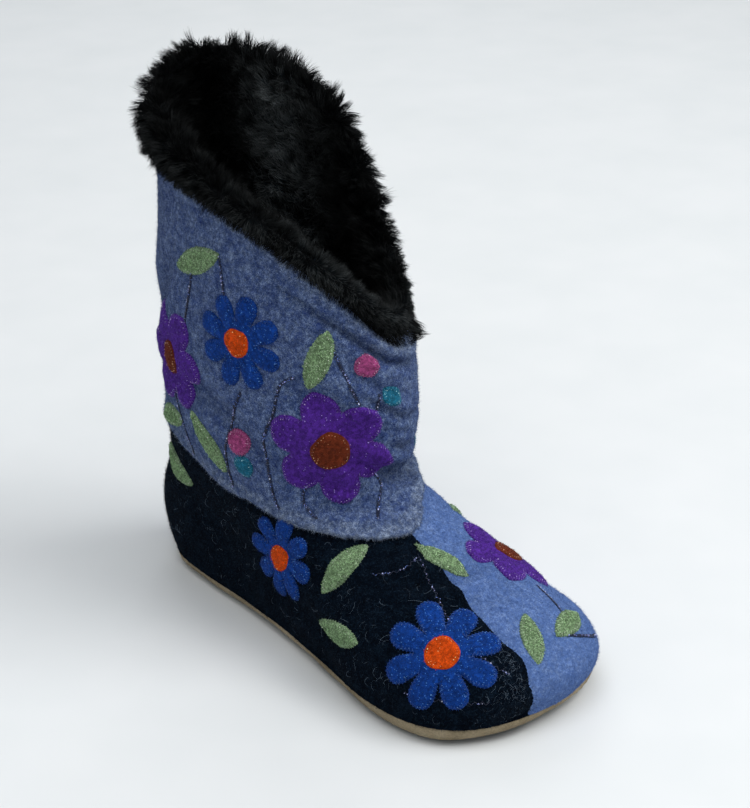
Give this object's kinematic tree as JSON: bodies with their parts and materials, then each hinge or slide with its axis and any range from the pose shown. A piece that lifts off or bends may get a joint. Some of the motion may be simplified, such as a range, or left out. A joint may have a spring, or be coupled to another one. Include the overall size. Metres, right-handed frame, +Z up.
{
  "type": "felt boot slipper",
  "caption": "Felt boot slipper for the left foot: soft leather sole, felt foot and lapped shaft with sewn flowers, and a deep fur lining turned over a collar that dips to a V.",
  "frame": {"origin": "on the floor under the middle of the boot's box", "axes": "+Z up, toe towards -Y, inner side of the foot towards -X"},
  "size_m": [0.1146, 0.2642, 0.267],
  "materials": {
    "tan_leather": "soft unpolished leather",
    "insole_felt": "dark felt",
    "blue_felt": "heathered fuzzy wool felt",
    "black_fur": "deep pile fur",
    "purple_felt": "wool felt",
    "rust_felt": "wool felt",
    "royal_blue_felt": "wool felt",
    "orange_felt": "wool felt",
    "sage_felt": "wool felt",
    "pink_felt": "wool felt",
    "teal_felt": "wool felt"
  },
  "bodies": {
    "root": {"daisy_10": "royal_blue_felt", "daisy_6": "royal_blue_felt", "daisy_7": "royal_blue_felt", "daisy_8": "royal_blue_felt", "daisy_9": "royal_blue_felt", "daisy_centre_10": "orange_felt", "daisy_centre_6": "orange_felt", "daisy_centre_7": "orange_felt", "daisy_centre_8": "orange_felt", "daisy_centre_9": "orange_felt", "fur_cuff": "black_fur", "insole": "insole_felt", "leaf_1": "sage_felt", "leaf_10": "sage_felt", "leaf_11": "sage_felt", "leaf_12": "sage_felt", "leaf_13": "sage_felt", "leaf_14": "sage_felt", "leaf_15": "sage_felt", "leaf_2": "sage_felt", "leaf_3": "sage_felt", "leaf_4": "sage_felt", "leaf_5": "sage_felt", "leaf_6": "sage_felt", "leaf_7": "sage_felt", "leaf_8": "sage_felt", "leaf_9": "sage_felt", "outsole": "tan_leather", "pink_berry_1": "pink_felt", "pink_berry_3": "pink_felt", "pink_berry_5": "pink_felt", "star_flower_1": "purple_felt", "star_flower_2": "purple_felt", "star_flower_3": "purple_felt", "star_flower_4": "purple_felt", "star_flower_5": "purple_felt", "star_flower_centre_1": "rust_felt", "star_flower_centre_2": "rust_felt", "star_flower_centre_3": "rust_felt", "star_flower_centre_4": "rust_felt", "star_flower_centre_5": "rust_felt", "teal_berry_2": "teal_felt", "teal_berry_4": "teal_felt", "teal_berry_6": "teal_felt", "upper": "blue_felt"}
  },
  "joints": []
}
